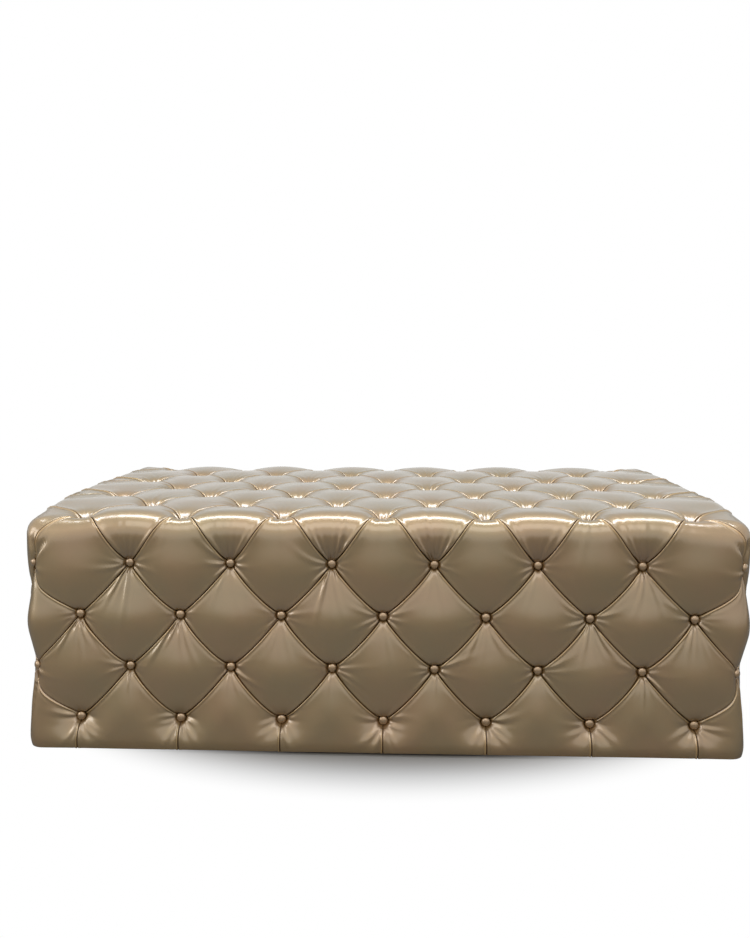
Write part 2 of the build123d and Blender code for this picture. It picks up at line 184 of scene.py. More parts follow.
# %% [markdown]
# The other walls could each be written out, but they are the front wall turned round, so the
# same numbers serve all four. The two ends aren't quite alike: their lower parts are drawn in,
# the right one more than the left one. The step from none to full has soft ends.

# %% Helpers for the walls
def smooth(low, high, v):
    """A step from 0 to 1 with soft ends."""
    t = np.clip((v - low) / (high - low), 0, 1)
    return t * t * (3 - 2 * t)


def end_pull(x, z):
    """How far the lower part of an end is pulled in, more at the right than at the left."""
    return np.where(x > 0, 12 * mm, 3 * mm) * (1 - smooth(150 * mm, 300 * mm, z))


def turned(point, side):
    """A point or direction of the front wall, turned round to another wall."""
    return np.array(Matrix.Rotation(np.radians(side_angles[side]), 3, "Z") @ Vector(point))


def bays_of(side):
    """Number of bays of a wall, their width, and how far out the wall stands."""
    if side in ("front", "back"):
        return length_bays, length_bay, half_depth
    return depth_bays, depth_bay, half_length


print("the right end is drawn in by", round(float(end_pull(1, 0)) / mm), "mm at its foot,",
      "the left end by", round(float(end_pull(-1, 0)) / mm), "mm")

# %% [markdown]
# A seat is where a button sits. It is kept as three vectors: its place, the way it faces, and
# the way that the leather runs on, down a wall or forwards on the top. A corner seat faces
# halfway between its two walls.

# %% Seats of the lattice
def wall_seat(side, row, bay):
    """Seat, outward direction and downward direction of one button of a wall."""
    bays, width, out = bays_of(side)
    z = row_heights[row]
    if bay in (0, bays):
        end = turned((-1 if bay == 0 else 1, -1, 0), side)
        signs = np.sign(np.round(end, 3))
        drawn_in = 0.8 * end_pull(signs[0], z)
        seat = (signs[0] * (half_length - corner_seat_inset - drawn_in),
                signs[1] * (half_depth - corner_seat_inset), z)
        return np.array(seat), signs / np.linalg.norm(signs), np.array((0, 0, -1.0))
    seat = turned(((bay - bays / 2) * width, -(out - tuft_depth), z), side)
    return seat, turned((0, -1, 0), side), np.array((0, 0, -1.0))


def top_seat(row, bay):
    """Seat, outward direction and forward direction of one button of the top."""
    x = (bay - length_bays / 2) * length_bay
    seat = np.array((x, top_rows[row], height - tuft_depth))
    return seat, np.array((0, 0, 1.0)), np.array((0, -1.0, 0))


def pit_above(side, bay):
    """The top's seat that stands over a bay of a wall."""
    return {"front": lambda: top_seat(0, bay), "back": lambda: top_seat(6, length_bays - bay),
            "right": lambda: top_seat(bay - 1, length_bays - 1),
            "left": lambda: top_seat(depth_bays - 1 - bay, 1)}[side]()


print("a seat of the front wall:", wall_seat("front", 0, 2)[0])

# %% [markdown]
# Between four seats the leather makes one pillow. A cell holds its four seats in the order
# top, right, bottom, left, seen from outside. The lowest cells of the walls end at the hem
# instead of a fourth seat. Cells that cross an edge of the box are made in just the same way,
# because a pillow is measured from the rounded box outwards and inwards.

# %% The list of cells
def wall_cells(side):
    """Cells whose middle lies in a wall, and those that wrap the corner at its right end."""
    bays = bays_of(side)[0]
    seat = lambda row, bay: wall_seat(side, row, bay)
    following = {"front": "right", "right": "back", "back": "left", "left": "front"}[side]
    cells, corner = [], []
    for bay in range(1, bays, 2):
        cells.append(("wall", pit_above(side, bay), seat(0, bay + 1), seat(1, bay), seat(0, bay - 1)))
        cells.append(("wall", seat(1, bay), seat(2, bay + 1), seat(3, bay), seat(2, bay - 1)))
    for bay in range(2, bays, 2):
        cells.append(("wall", seat(0, bay), seat(1, bay + 1), seat(2, bay), seat(1, bay - 1)))
        cells.append(("hem", seat(2, bay), seat(3, bay + 1), None, seat(3, bay - 1)))
    round_upper, round_lower = wall_seat(following, 1, 1), wall_seat(following, 3, 1)
    corner.append(("wall", seat(0, bays), round_upper, seat(2, bays), seat(1, bays - 1)))
    corner.append(("hem", seat(2, bays), round_lower, None, seat(3, bays - 1)))
    return cells, corner


def top_cells():
    """Cells of the top. Those of the first row bend over the front edge and are the brow."""
    cells = []
    for row in range(7):
        for bay in range(2 - row % 2, length_bays, 2):
            back = top_seat(row + 1, bay) if row < 6 else wall_seat("back", 0, length_bays - bay)
            front = top_seat(row - 1, bay) if row else wall_seat("front", 0, bay)
            right = top_seat(row, bay + 1) if bay < 13 else wall_seat("right", 0, row + 1)
            left = top_seat(row, bay - 1) if bay > 1 else wall_seat("left", 0, 7 - row)
            cells.append(("top" if 0 < row else "brow", back, right, front, left))
    return cells


cells = {"top": top_cells()}
for side in side_angles:
    cells[side] = wall_cells(side)[0]
cells["right"] += wall_cells("front")[1] + wall_cells("right")[1]
cells["left"] += wall_cells("back")[1] + wall_cells("left")[1]
print({name: len(found) for name, found in cells.items()})

# %% [markdown]
# The crowns of all pillows touch one rounded box, which bulges at its ends as stuffed leather
# does. It could be modelled as a mesh to shrink onto, but a distance formula is exact and needs
# no mesh. A point steps along its direction by the distance that is left until it is there.
# Each pillow is a square grid whose lines crowd together at the seams, where the folds are.

# %% The grid and the box around the crowns
rng = np.random.default_rng(11)
steps = 46
grade = 0.8
left_bulge, right_bulge = 24 * mm, 17 * mm
front_corner_fall = 12 * mm
end_round_less = 14 * mm


def graded(count):
    """Places from 0 to 1, close together at both ends, where the folds are."""
    t = np.linspace(0, 1, count + 1)
    return t - grade / (2 * np.pi) * np.sin(2 * np.pi * t)


def unit(v):
    return v / np.maximum(np.linalg.norm(v, axis=-1, keepdims=True), 1e-9)


def rounded(beyond_side, beyond_top, radius, power=2.3):
    """Signed distance to a softly rounded corner, from the distances beyond two sides."""
    q = np.stack((beyond_side + radius, beyond_top + radius), -1)
    return (np.maximum(q, 0) ** power).sum(-1) ** (1 / power) + np.minimum(q.max(-1), 0) - radius


def box_gap(p):
    """Signed distance from points to the rounded box that the crowns touch. Its ends bulge in
    the middle and draw in below, and the top falls away a little at its front corners."""
    x, y, z = abs(p[..., 0]), abs(p[..., 1]), p[..., 2]
    bulge = np.where(p[..., 0] < 0, left_bulge, right_bulge) * (1 - np.clip(y / half_depth, 0, 1) ** 2)
    bulge = bulge * smooth(20 * mm, 300 * mm, z) - end_pull(p[..., 0], z)
    fall = front_corner_fall * smooth(540 * mm, 690 * mm, x) * smooth(180 * mm, 344 * mm, -p[..., 1])
    plan = rounded(x - half_length - bulge, y - half_depth, corner_round)
    edge = top_round - end_round_less * smooth(-20 * mm, 20 * mm, x - half_length - y + half_depth)
    return rounded(plan, z - height + fall, edge)


def crown_distance(p, n):
    """How far it is from points inside the rounded box to its surface, along directions."""
    far = np.zeros(p.shape[:-1])
    for _ in range(40):
        far -= box_gap(p + n * far[..., None])
    return far


waves = [(rng.normal(size=3) * 26, rng.uniform(0, 6.28), rng.uniform(0.5, 1)) for _ in range(14)]


def unevenness(p):
    """A slow wave of about a millimetre, the same on both sides of a seam."""
    total = sum(a * np.sin(p @ k + phase) for k, phase, a in waves)
    return total / 4 * 1.1 * mm


print("crowns over a front seat stand out by",
      crown_distance(*[v[None] for v in wall_seat("front", 0, 2)[:2]]).round(4), "m")

# %% [markdown]
# A seam is the line between two seats where two pillows meet. It rises from its seats too:
# rather more than half way up on the walls, most of the way on the top, and nearly as high as
# the crowns where it crosses an edge. A straight line would look machine-made, so a seam is
# bent by a few millimetres: it sags on the walls and bows forwards on the top.

# %% Seams
def on_top(seat):
    return seat[1][2] > 0.9


def on_corner(seat):
    return abs(seat[1][0] * seat[1][1]) > 0.1


def seam_rise(s, flat=False):
    """Height of a seam between two seats, as a share of the crown's. Seams of the top are flatter."""
    return 0.8 * (1 - abs(2 * s - 1) ** 5) if flat else 0.56 * (1 - abs(2 * s - 1) ** 2.6)


def rise_between(a, b, s):
    """Height of the seam between two seats, where each end follows its own side's habit. A seam
    that crosses an edge stays nearly as high as the crowns there."""
    if on_top(a) != on_top(b):
        from_top = s if on_top(a) else 1 - s
        return 0.9 * (1 - abs(2 * s - 1) ** np.where(from_top < 0.5, 3.4, 1.6))
    return (1 - s) * seam_rise(s, on_top(a)) + s * seam_rise(s, on_top(b))


def seam_offset(a, b, s):
    """How far a seam lies from the straight line between its seats: it sags on the walls and
    forwards on the top, and over an edge it runs straight down the wall."""
    down = (a[2] + b[2]) / 2
    corner, other, far = (a, b, s) if on_corner(a) else (b, a, 1 - s)
    if on_corner(corner) and abs(other[1][2]) < 0.5 and corner[0][2] > other[0][2]:
        side = unit((corner[0] - other[0]) * (1, 1, 0))
        bow = 6.75 * far * (1 - far) ** 2
        return bow[..., None] * (side * 9 * mm - np.array((0, 0, 14 * mm)))
    alike = a[1] @ b[1] > 0.6
    if alike or on_corner(a) or on_corner(b):
        if on_top(a) != on_top(b):
            corner = b[0] if on_top(a) else a[0]
            down, reach = np.array((1.0, 0, 0)), 13 * (corner[0] > 0)
        else:
            reach = 5.5 if abs(down[2]) > 0.9 else 2.0 if abs(down[1]) > 0.9 else 0
        return (4 * s * (1 - s) * reach * mm)[..., None] * down
    axis = unit(np.cross(a[1], b[1]))
    fine = np.linspace(0, 1, 60)[:, None]
    way = unit(a[1] * (1 - fine) + b[1] * fine)
    line = a[0] * (1 - fine) + b[0] * fine
    line = line + way * crown_distance(line, way)[:, None]
    run = np.concatenate([[0], np.cumsum(np.linalg.norm(np.diff(line, axis=0), axis=-1))])
    part = np.interp(s, fine[:, 0], run / run[-1])
    return (part - s)[..., None] * ((b[0] - a[0]) @ axis) * axis


print("half way along, a seam stands at", seam_rise(0.5), "of the crown on a wall,",
      seam_rise(0.5, True), "on the top")

# %% [markdown]
# Along a seam the leather is folded: one pillow hangs over by about a millimetre, the other
# comes out from under it in a low ridge, and a narrow dark line is left between them. At the
# seats the twine pulls the spare leather together, so short wrinkles run out from there, thin at
# the seat and wider further off. A cloth simulation could find such shapes, but not where the
# upholsterer lays each fold by hand. So formulas lay the folds, and seeded draws the wrinkles.

# %% Folds and wrinkles
def fold_profile(d, over, strength):
    """Height and sideways shift beside a seam, for the pillow that hangs over or the one under."""
    crease = -2.6 * mm * np.exp(-(d / (0.8 * mm)) ** 1.5)
    if over:
        lift = 0.8 * mm * np.exp(-((d - 3.4 * mm) / (3.2 * mm)) ** 2)
        shift = 1.0 * mm * (1 - np.exp(-(d / (0.8 * mm)) ** 2)) * np.exp(-(d / (5 * mm)) ** 2)
    else:
        lift = 1.7 * mm * np.exp(-((d - 2.7 * mm) / (1.25 * mm)) ** 2)
        lift = lift - 0.5 * mm * np.exp(-((d - 6.5 * mm) / (2.6 * mm)) ** 2)
        shift = np.zeros_like(d)
    lift = lift * (1 - np.exp(-(d / (1 * mm)) ** 2))
    return (crease + lift) * strength, shift * strength


def add_folds(rise, shift, seams, closest):
    """Fold a pillow along its seams, and give back the share of painted light for the colour:
    painted shade in the folds and round the seats, below 0 a painted highlight on the ridges. Each
    seam has its distance, whether the pillow hangs over, the way out, and two strengths."""
    fold, painted_ridge_highlight = np.zeros_like(rise), np.zeros_like(rise)
    for near, over, way, shape_strength, colour_strength in seams:
        lift, sideways = fold_profile(near, over, shape_strength)
        rise += lift
        shift += sideways[..., None] * way
        # painted shade: the colour is darkened along the fold
        fold = np.maximum(fold, np.exp(-(near / (1.3 * mm)) ** 2))
        if not over:
            # painted highlight: the ridge beside the fold is made paler
            ridge = np.exp(-((near - 3 * mm) / (1.3 * mm)) ** 2)
            painted_ridge_highlight = np.maximum(painted_ridge_highlight, ridge * colour_strength)
    # painted shade round the seats: a dark ring close in and a wide soft darkening further out
    fold = np.maximum(fold, 0.7 - 0.7 * smooth(5 * mm, 12 * mm, closest))
    return np.maximum(fold, 0.5 * np.exp(-(closest / (20 * mm)) ** 2)) - 0.5 * painted_ridge_highlight


def wrinkles(rho, phi, count, height_mm, length_mm, width_mm=6.0):
    """Ridges that run out from a seat between two seams, phi from 0 at one to 1 at the other."""
    total = np.zeros_like(rho)
    for centre in (np.arange(count) + 0.5 + rng.uniform(-0.4, 0.4, count)) / count:
        long = length_mm * mm * rng.uniform(0.5, 1.5)
        tall = height_mm * mm * rng.uniform(0.2, 1.2)
        bend = rng.uniform(-0.08, 0.08)
        across = (phi - centre - bend * rho / long) * 3 * rho / (width_mm * mm + 0.1 * rho)
        along = smooth(5 * mm, 15 * mm, rho) * np.exp(-(rho / long) ** 2)
        total += tall * along * (1 - 1.6 * across ** 2) * np.exp(-across ** 2)
    return total * smooth(0, 0.12, phi) * smooth(0, 0.12, 1 - phi)


fold_shape = fold_profile(np.array((0, 3)) * mm, False, 1)[0] * 1000
print("a fold is", round(-fold_shape[0], 1), "mm deep, its ridge", round(fold_shape[1], 1), "mm high")

# %% [markdown]
# Each kind of pillow has its own wrinkles at its top, right, bottom and left seat. They are
# written as count, height, length and width in millimetres. The brow over the front edge has
# the longest, because the leather there is pulled round the edge.

# %% Wrinkles of each kind of pillow
wrinkle_kinds = {
    "wall": ((5, 3.2, 46, 4.2), (4, 2.0, 40, 6.0), (3, 0.8, 30, 6.0), (4, 2.0, 40, 6.0)),
    "edge": ((4, 0.8, 60, 8.0), (4, 2.2, 42, 6.0), (3, 0.8, 30, 6.0), (4, 2.2, 42, 6.0)),
    "brow": ((5, 2.4, 38, 5.0), (3, 1.6, 34, 6.0), (6, 4.4, 62, 5.2), (3, 1.6, 34, 6.0)),
    "top": ((5, 1.8, 34, 5.0), (4, 1.8, 34, 5.0), (8, 2.4, 40, 3.6), (4, 1.8, 34, 5.0)),
}
beside_seat = (("top_left", "top_right"), ("bottom_right", "top_right"),
               ("bottom_right", "bottom_left"), ("top_left", "bottom_left"))
opposite = {"top_left": "bottom_right", "bottom_right": "top_left",
            "top_right": "bottom_left", "bottom_left": "top_right"}


def gather(rise, kind, corners, near, seat_gap):
    """Add the wrinkles of the four seats, and beside a corner seat a groove down the corner."""
    for i, (a, b) in enumerate(beside_seat):
        away = smooth(0, 25 * mm, np.minimum(near[opposite[a]], near[opposite[b]]))
        phi = np.arctan2(near[a], near[b] + 1e-9) / (np.pi / 2)
        count, tall, long, wide = wrinkle_kinds[kind][i]
        rise += away * wrinkles(seat_gap[i], phi, count, tall * rng.uniform(0.2, 1.7), long, wide)
        if kind == "edge" and on_corner(corners[i]):
            turn = phi if i == 3 else 1 - phi
            beside = (turn - 0.12 - 0.10 * seat_gap[i] / (100 * mm)) * 1.57 * seat_gap[i]
            reach = smooth(12 * mm, 26 * mm, seat_gap[i]) * (1 - smooth(60 * mm, 95 * mm, seat_gap[i]))
            rise += reach * (0.8 * mm * np.exp(-((beside - 10 * mm) / (5 * mm)) ** 2)
                             - 5.5 * mm * np.exp(-(beside / (4.8 * mm)) ** 2))


print("kinds of pillow with four seats:", list(wrinkle_kinds))

# %% [markdown]
# How full a pillow is at a point is a share of the crown's height. The crown falls off towards
# all four seams by a power of its arch: the lower the power, the fuller the pillow. What the
# crown leaves is filled by the seams' own rise, so neighbours agree about their shared seam.

# %% Borders and fullness of a pillow
def borders_of(skin, count):
    """Distances along the skin to the four borders of a grid, and to its four seats."""
    step_u = np.linalg.norm(np.diff(skin, axis=0), axis=-1)
    step_v = np.linalg.norm(np.diff(skin, axis=1), axis=-1)
    du = np.vstack([np.zeros((1, count + 1)), np.cumsum(step_u, axis=0)])
    dv = np.hstack([np.zeros((count + 1, 1)), np.cumsum(step_v, axis=1)])
    near = {"top_left": du, "bottom_right": du[-1:] - du, "top_right": dv, "bottom_left": dv[:, -1:] - dv}
    return near, [np.hypot(near[a], near[b]) for a, b in beside_seat]


def fullness(corners, u, v, level):
    """Share of the crown's height at each point, from the crown and its four seams."""
    top, right, bottom, left = corners
    arch_u, arch_v = 4 * u * (1 - u), 4 * v * (1 - v)
    crown = (arch_u * arch_v) ** (rng.uniform(0.58, 0.66) * (1 - level) + rng.uniform(0.22, 0.28) * level)
    rise_u = (1 - v) * rise_between(top, right, u) + v * rise_between(left, bottom, u)
    rise_v = (1 - u) * rise_between(top, left, v) + u * rise_between(right, bottom, v)
    seams = rise_u * (1 - arch_v) + rise_v * (1 - arch_u)
    return crown + (1 - crown) * seams


print("a pillow's grid has", steps, "steps each way")

# %% [markdown]
# One function makes a four-seat pillow as a grid of points. A subdivided cage could give the
# round crown, but not sharp seams beside it at a set depth. So the function draws the flat
# grid between the seats, finds the rounded box outside it, and comes back inwards by the depth
# that the crown, the seams, the folds and the wrinkles leave. The foam asks for it plain.

# %% A four-seat pillow
def pillow(cell, count, inset=0.0, plain=False):
    """Points, share of painted shade and highlight, and outward directions of one cell, as a grid."""
    kind, top, right, bottom, left = cell
    u, v = np.meshgrid(graded(count), graded(count), indexing="ij")
    corners = [top, right, bottom, left]
    weights = [(1 - u) * (1 - v), u * (1 - v), u * v, (1 - u) * v]
    base = sum(w[..., None] * c[0] for w, c in zip(weights, corners))
    normal = unit(sum(w[..., None] * c[1] for w, c in zip(weights, corners)))
    for weight, a, b, along in (((1 - v), top, right, u), (u, right, bottom, v),
                                (v, left, bottom, u), ((1 - u), top, left, v)):
        base = base + weight[..., None] * seam_offset(a, b, along)
    depth_at = [crown_distance(c[0][None], c[1][None])[0] for c in corners]
    depth = sum(w * d for w, d in zip(weights, depth_at))
    level = sum(w * on_top(c) for w, c in zip(weights, corners))
    share = fullness(corners, u, v, level)
    skin = base + normal * crown_distance(base, normal)[..., None]
    near, seat_gap = borders_of(skin, count)
    closest = np.minimum.reduce(seat_gap)
    funnel = 1 - np.exp(-(np.maximum(closest - 3 * mm, 0) / (19 * mm)) ** 1.35)
    share = share * (smooth(3.5 * mm, 14 * mm, closest) * (1 - level) + funnel * level)
    rise = -(1 - share) * depth - inset
    if plain:
        return skin + normal * rise[..., None], np.zeros_like(u), normal
    gather(rise, "edge" if kind == "wall" and on_top(top) else kind, corners, near, seat_gap)
    rise += unevenness(base) * smooth(0, 20 * mm, closest)
    side_u, side_v = unit(np.gradient(skin, axis=0)), unit(np.gradient(skin, axis=1))
    strength = smooth(4 * mm, 16 * mm, closest)
    seams = []
    for name, a, b, way in (("top_left", top, left, -side_u), ("top_right", top, right, -side_v),
                            ("bottom_right", right, bottom, side_u), ("bottom_left", left, bottom, side_v)):
        upper, crossing = name.startswith("top"), a[1][2] + b[1][2] < 1.9
        over = (upper or crossing) if kind in ("top", "brow") else not upper
        seams.append((near[name], over, way, strength * (1 if crossing else 0.6), strength))
    shift = np.zeros_like(base)
    fold = add_folds(rise, shift, seams, closest)
    # painted shade: the brow is darkened towards its lower seat, over the front wall's buttons
    if kind == "brow":
        fold += 0.3 * np.exp(-(seat_gap[2] / (48 * mm)) ** 2) * (1 - fold)
    return skin + normal * rise[..., None] + shift, fold, normal


print("a pillow has", steps ** 2, "faces")

# %% [markdown]
# The lowest pillows have two seats at the sides and one above, and run down to the hem between
# two straight pleats. Their grid can't be a diamond, so it hangs from the two slanted seams and
# ends in a straight line. As for the other pillows, it is first laid on the rounded box.

# %% Sheet of a hem pillow
def hem_sheet(top, right, left, s, t):
    """Skin of a hem cell on the rounded box, with its base, directions and crown depth."""
    half = abs(2 * s - 1)
    toward_left = s < 0.5
    lower_seat = np.where(toward_left[..., None], left[0], right[0])
    lower_way = np.where(toward_left[..., None], left[1], right[1])
    upper = top[0] * (1 - half)[..., None] + lower_seat * half[..., None]
    upper_way = top[1] * (1 - half)[..., None] + lower_way * half[..., None]
    upper = upper + np.where(toward_left[..., None], seam_offset(top, left, half),
                             seam_offset(top, right, half))
    lower = left[0] * (1 - s)[..., None] + right[0] * s[..., None]
    lower[..., 2] = hem_z
    lower_ways = unit(left[1] * (1 - s)[..., None] + right[1] * s[..., None])
    base = upper * (1 - t)[..., None] + lower * t[..., None]
    normal = unit(upper_way * (1 - t)[..., None] + lower_ways * t[..., None])
    seat_depth = [crown_distance(c[0][None], c[1][None])[0] for c in (left, top, right)]
    upper_depth = np.where(toward_left, seat_depth[0], seat_depth[2]) * half + seat_depth[1] * (1 - half)
    lower_depth = seat_depth[0] * (1 - s) + seat_depth[2] * s
    depth = upper_depth * (1 - t) + lower_depth * t
    skin = base + normal * crown_distance(base, normal)[..., None]
    left_depth, top_depth, right_depth = seat_depth
    ends = [c[0] + c[1] * d for c, d in ((left, left_depth), (right, right_depth), (top, top_depth))]
    return skin, base, normal, lower_ways, depth, ends


print("the hem is", round(hem_z / mm), "mm above the floor")

# %% [markdown]
# The distance to the pleats and to the slanted seams says how full a hem pillow is and where
# its folds lie. The nearest point of a seam could be searched for, but its height over the run
# between the pleats is enough. Past the upper seat the seam is carried on upwards.

# %% Borders and fullness of a hem pillow
def hem_borders(skin, low, high, count):
    """Distances to the two pleats and the two slanted seams, the run between the pleats, and
    the length of a slanted seam."""
    z = skin[..., 2]
    step = np.linalg.norm(np.diff(skin[..., :2], axis=0), axis=-1)
    along = np.vstack([np.zeros((1, count + 1)), np.cumsum(step, axis=0)])
    total = along[-1:]
    slope = (high - low) / (total / 2)
    flank = 1 / np.sqrt(1 + slope ** 2)

    def below(run, seam):
        """Distance to a slanted seam that starts at the seat beside the pleat."""
        beyond = 2 * high - np.interp(total - run, seam[0], seam[1])
        line = np.where(run < total / 2, np.interp(run, seam[0], seam[1]), beyond)
        return np.maximum(line - z, 0) * flank

    middle = count + 1
    rising = along[:middle, 0], z[:middle, 0]
    falling = (total[0, 0] - along[-middle:, 0])[::-1], z[-middle:, 0][::-1]
    near = {"left": along, "right": total - along, "upper_left": below(along, rising),
            "upper_right": below(total - along, falling)}
    return near, np.hypot(high - low, total / 2)


def hem_fullness(near, seam_length, fall, half, skin):
    """Share of the crown's height in a hem pillow, from its crown, seams and pleats."""
    lift = {name: 1 - (1 - np.clip(d / (70 * mm), 0, 1)) ** 2 for name, d in near.items()}
    crown = (lift["left"] * lift["right"] * lift["upper_left"] * lift["upper_right"]) ** 0.62
    pleat = 1 - (1 - fall) ** 3
    share = crown + (1 - crown) * (
        seam_rise(np.clip(near["upper_right"] / seam_length, 0, 1)) * (1 - lift["upper_left"])
        + seam_rise(np.clip(near["upper_left"] / seam_length, 0, 1)) * (1 - lift["upper_right"])
        + pleat * (1 - lift["left"]) + pleat * (1 - lift["right"]))
    upper_near = np.linalg.norm(skin - skin[:, :1], axis=-1)
    return share + (seam_rise(half[:, :1]) - share[:, :1]) * np.exp(-(upper_near / (6 * mm)) ** 2)


print("a hem pillow's grid has", 2 * steps, "by", steps, "steps")

# %% [markdown]
# The hem pillow then gets wrinkles and folds like the others. Near the hem its pleats are
# pulled flat. The leather is rolled under there and stapled below the rail, so the last rows of
# the grid turn in and form the lip. The grid is doubled across, with crowded lines in its middle
# too, because the two slanted seams meet there. Where a pleat has no strength yet, its distance
# is set far off, so that no fold is left.

# %% A hem pillow
lip_reaches = (4 * mm, 14 * mm, 26 * mm)
far_off = 1.0


def gather_hem(rise, near, seat_gap, z, low):
    """Add the wrinkles of the left, right and top seat of a hem pillow."""
    for i, side in enumerate(("left", "right")):
        turn = (np.arctan2(z - low, near[side]) + np.pi / 2) / (np.pi * 0.75)
        rise += wrinkles(seat_gap[i], np.clip(turn, 0, 1), 5, 3.0, 30, 4.6)
    phi = np.arctan2(near["upper_left"], near["upper_right"] + 1e-9) / (np.pi / 2)
    rise += wrinkles(seat_gap[2], phi, 4, 2.0, 26, 6.0)


def hem_pillow(cell, count, inset=0.0, plain=False):
    """Points, share of painted shade and highlight, and outward directions of one cell at the hem, with its
    lip.
    """
    _, top, right, _, left = cell
    places = np.concatenate([graded(count) / 2, 0.5 + graded(count)[1:] / 2])
    s, t = np.meshgrid(places, graded(count), indexing="ij")
    skin, base, normal, lower_ways, depth, ends = hem_sheet(top, right, left, s, t)
    z, low, high = skin[..., 2], left[0][2], top[0][2]
    near, seam_length = hem_borders(skin, low, high, count)
    fall = np.clip((low - z) / (low - hem_z), 0, 1)
    share = hem_fullness(near, seam_length, fall, abs(2 * s - 1), skin)
    seat_gap = [np.linalg.norm(skin - end, axis=-1) for end in ends]
    closest = np.minimum.reduce(seat_gap)
    share = np.clip(share, 0, 1) * smooth(3.5 * mm, 14 * mm, closest)
    straight = smooth(0.15, 1, fall)
    share = share + (1 - share) * straight
    tuck = 3 * mm * np.clip(1 - (z - hem_z) / (20 * mm), 0, 1) ** 2
    rise = -(1 - share) * depth - tuck - inset
    shift, fold = np.zeros_like(base), np.zeros_like(s)
    if not plain:
        gather_hem(rise, near, seat_gap, z, low)
        rise += unevenness(base) * smooth(0, 20 * mm, closest) * (1 - 0.8 * straight)
        side, drop = unit(np.gradient(skin, axis=0)), np.array((0, 0, -1.0))
        strength = smooth(4 * mm, 16 * mm, closest)
        pleat_strength = strength * smooth(0, 4 * mm, low - z)
        seams = [(np.where(firm > 0, near[name], far_off), over, way, firm, firm)
                 for name, over, way, firm in (("left", True, -side, pleat_strength),
                                               ("right", False, side, pleat_strength),
                                               ("upper_left", False, -unit(side - drop), strength),
                                               ("upper_right", False, unit(side + drop), strength))]
        fold = add_folds(rise, shift, seams, closest)
    points = skin + normal * rise[..., None] + shift
    points[..., 2] = np.maximum(points[..., 2], hem_z)
    points[:, -1, 2] = hem_z
    lips = [points[:, -1] - lower_ways[:, -1] * reach for reach in lip_reaches]
    points = np.concatenate([points] + [lip[:, None] for lip in lips], axis=1)
    fold = np.concatenate([fold] + [fold[:, -1:]] * len(lips), axis=1)
    normal = np.concatenate([normal] + [normal[:, -1:]] * len(lips), axis=1)
    return points, fold, normal


print("the lip turns in by", round(lip_reaches[-1] / mm), "mm")

# %% [markdown]
# The real cover is cut in panels and joined inside the pleats. Here the grids of one side are
# joined into one skin. Points that neighbours share are merged, so the leather runs through the
# seams without a gap, and each wall meets the next in a seam too.

# %% Joining cells into a piece
merge_step = 0.02 * mm


def grid_faces(rows, columns, start):
    """Four-sided faces of a grid of points whose first point has the number start."""
    i, j = np.meshgrid(np.arange(rows - 1), np.arange(columns - 1), indexing="ij")
    a = start + i * columns + j
    return np.stack([a, a + 1, a + columns + 1, a + columns], -1).reshape(-1, 4)


def mesh_object(name, points, faces, folds=None):
    """A smooth mesh of points and four-sided faces, after merging points that coincide."""
    keys = np.round(points / merge_step).astype(np.int64)
    _, first, where = np.unique(keys, axis=0, return_index=True, return_inverse=True)
    where = where.reshape(-1)
    faces = [[k for n, k in enumerate(f) if k != f[n - 1]] for f in where[faces].tolist()]
    faces = [f for f in faces if len(set(f)) > 2]
    mesh = bpy.data.meshes.new(name)
    mesh.from_pydata(points[first].tolist(), [], faces)
    mesh.polygons.foreach_set("use_smooth", np.ones(len(mesh.polygons), bool))
    # the fold attribute carries painted shade in the folds and round the seats, and a painted highlight on
    # the ridges
    if folds is not None:
        mesh.attributes.new("fold", "FLOAT", "POINT").data.foreach_set("value", folds[first])
    mesh.validate()
    piece = bpy.data.objects.new(name, mesh)
    bpy.context.scene.collection.objects.link(piece)
    return piece


print("points are merged on steps of", merge_step, "m")

# %% [markdown]
# Each side's leather is one piece, as its foam is. The leather could be a single piece for the
# whole ottoman, but the model has a cover for each side, and each piece stands for one of them.

# %% The leather of each side
def leather_piece(name, found):
    """The leather of one side, from its cells."""
    points, faces, folds, start = [], [], [], 0
    for cell in found:
        maker = hem_pillow if cell[0] == "hem" else pillow
        grid, fold, _ = maker(cell, steps)
        faces.append(grid_faces(*grid.shape[:2], start))
        points.append(grid.reshape(-1, 3))
        folds.append(fold.reshape(-1))
        start += grid.shape[0] * grid.shape[1]
    piece = mesh_object(name, np.concatenate(points), np.concatenate(faces), np.concatenate(folds))
    piece.data.materials.append(cover_leather)
    return piece


covers = {name: leather_piece("leather_" + name, found) for name, found in cells.items()}
for name, piece in covers.items():
    print(piece.name, len(piece.data.polygons), "faces")

# %% [markdown]
# The plainer finishes each come from a single pattern. They could share one material with
# switches, but a material of its own for each real finish is easier to change. This helper
# gives the pattern's place, its two tones and, if the finish has one, its bump.

# %% A finish from one pattern
def patterned(name, roughness, kind, pattern, stops, bump=None, stretch=None, settings=(), metallic=0.0):
    """A material from one texture node. Bump holds a strength and a depth in metres."""
    material, tree, shader = finish(name, Roughness=roughness, Metallic=metallic)
    place = add(tree, "ShaderNodeTexCoord").outputs["Object"]
    if stretch:
        place = add(tree, "ShaderNodeMapping", {"Vector": place}, Scale=stretch).outputs[0]
    texture = add(tree, kind, {"Vector": place}, settings, **pattern)
    value = texture.outputs["Distance" if kind == "ShaderNodeTexVoronoi" else "Fac"]
    tone = ramp(tree, value, stops)
    tree.links.new(tone.outputs["Color"], shader.inputs["Base Color"])
    if bump:
        relief = add(tree, "ShaderNodeBump", {"Height": value}, Strength=bump[0], Distance=bump[1])
        tree.links.new(relief.outputs["Normal"], shader.inputs["Normal"])
    return material


